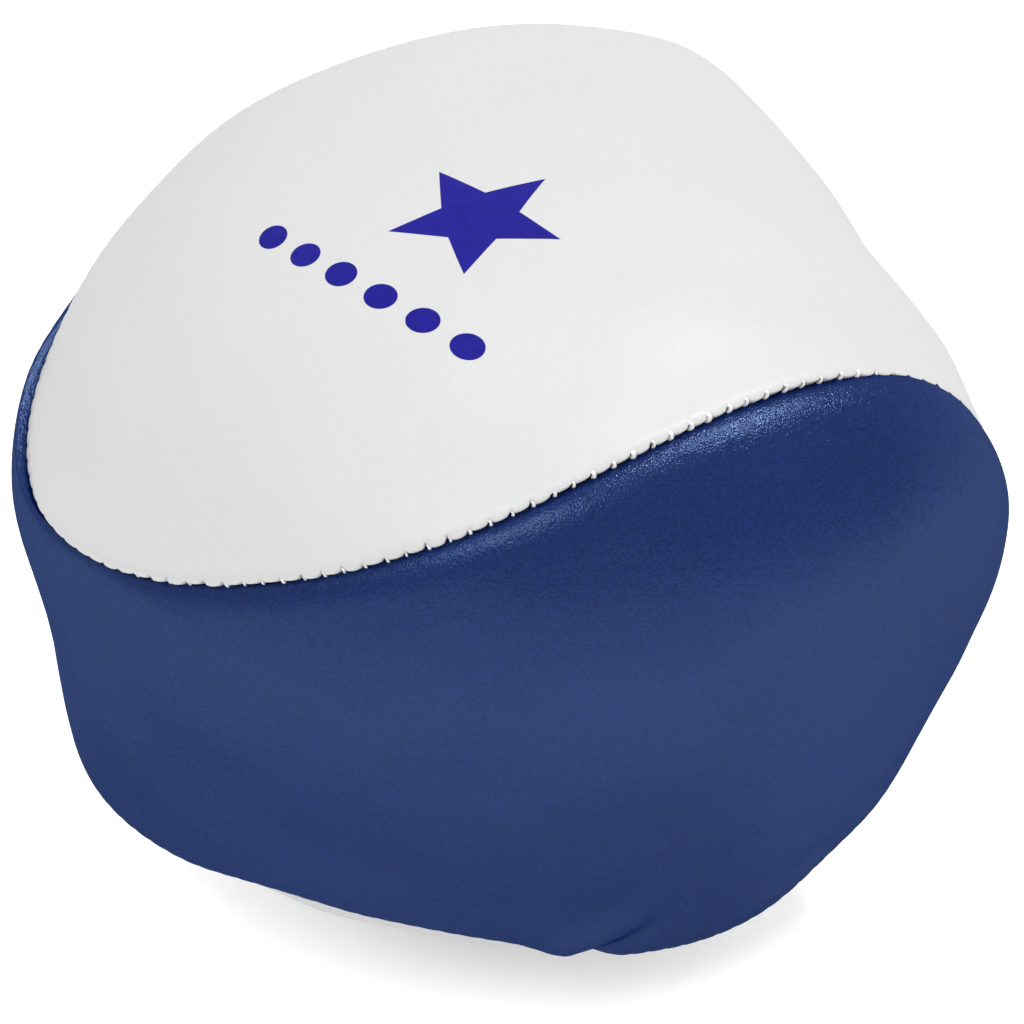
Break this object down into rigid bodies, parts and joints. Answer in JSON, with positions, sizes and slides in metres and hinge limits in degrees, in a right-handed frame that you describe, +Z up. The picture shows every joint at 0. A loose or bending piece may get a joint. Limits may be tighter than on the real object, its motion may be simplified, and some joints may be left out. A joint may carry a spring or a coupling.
{
  "type": "juggling ball",
  "caption": "Soft juggling ball: two leather-cloth panels, white and blue, sewn along one tennis-ball seam and filled with loose pellets.",
  "frame": {"origin": "on the floor, under the middle of the ball's box", "axes": "+Z up; +X to the white panel's waist; -Y to the front, where the blue front lobe is"},
  "size_m": [0.0656, 0.0632, 0.0613],
  "materials": {
    "white_leather": "satin",
    "blue_leather": "satin",
    "thread": "matte",
    "ink": "matte",
    "pellet": "matte"
  },
  "bodies": {
    "root": {"white_panel": "white_leather", "blue_panel": "blue_leather", "needle_thread": "thread", "needle_thread_inside": "thread", "bobbin_thread": "thread", "closing_thread": "thread", "printed_mark": "ink", "pellets_bottom": "pellet", "pellets_low": "pellet", "pellets_mid_low": "pellet", "pellets_mid_high": "pellet", "pellets_high": "pellet", "pellets_top": "pellet"}
  },
  "joints": []
}
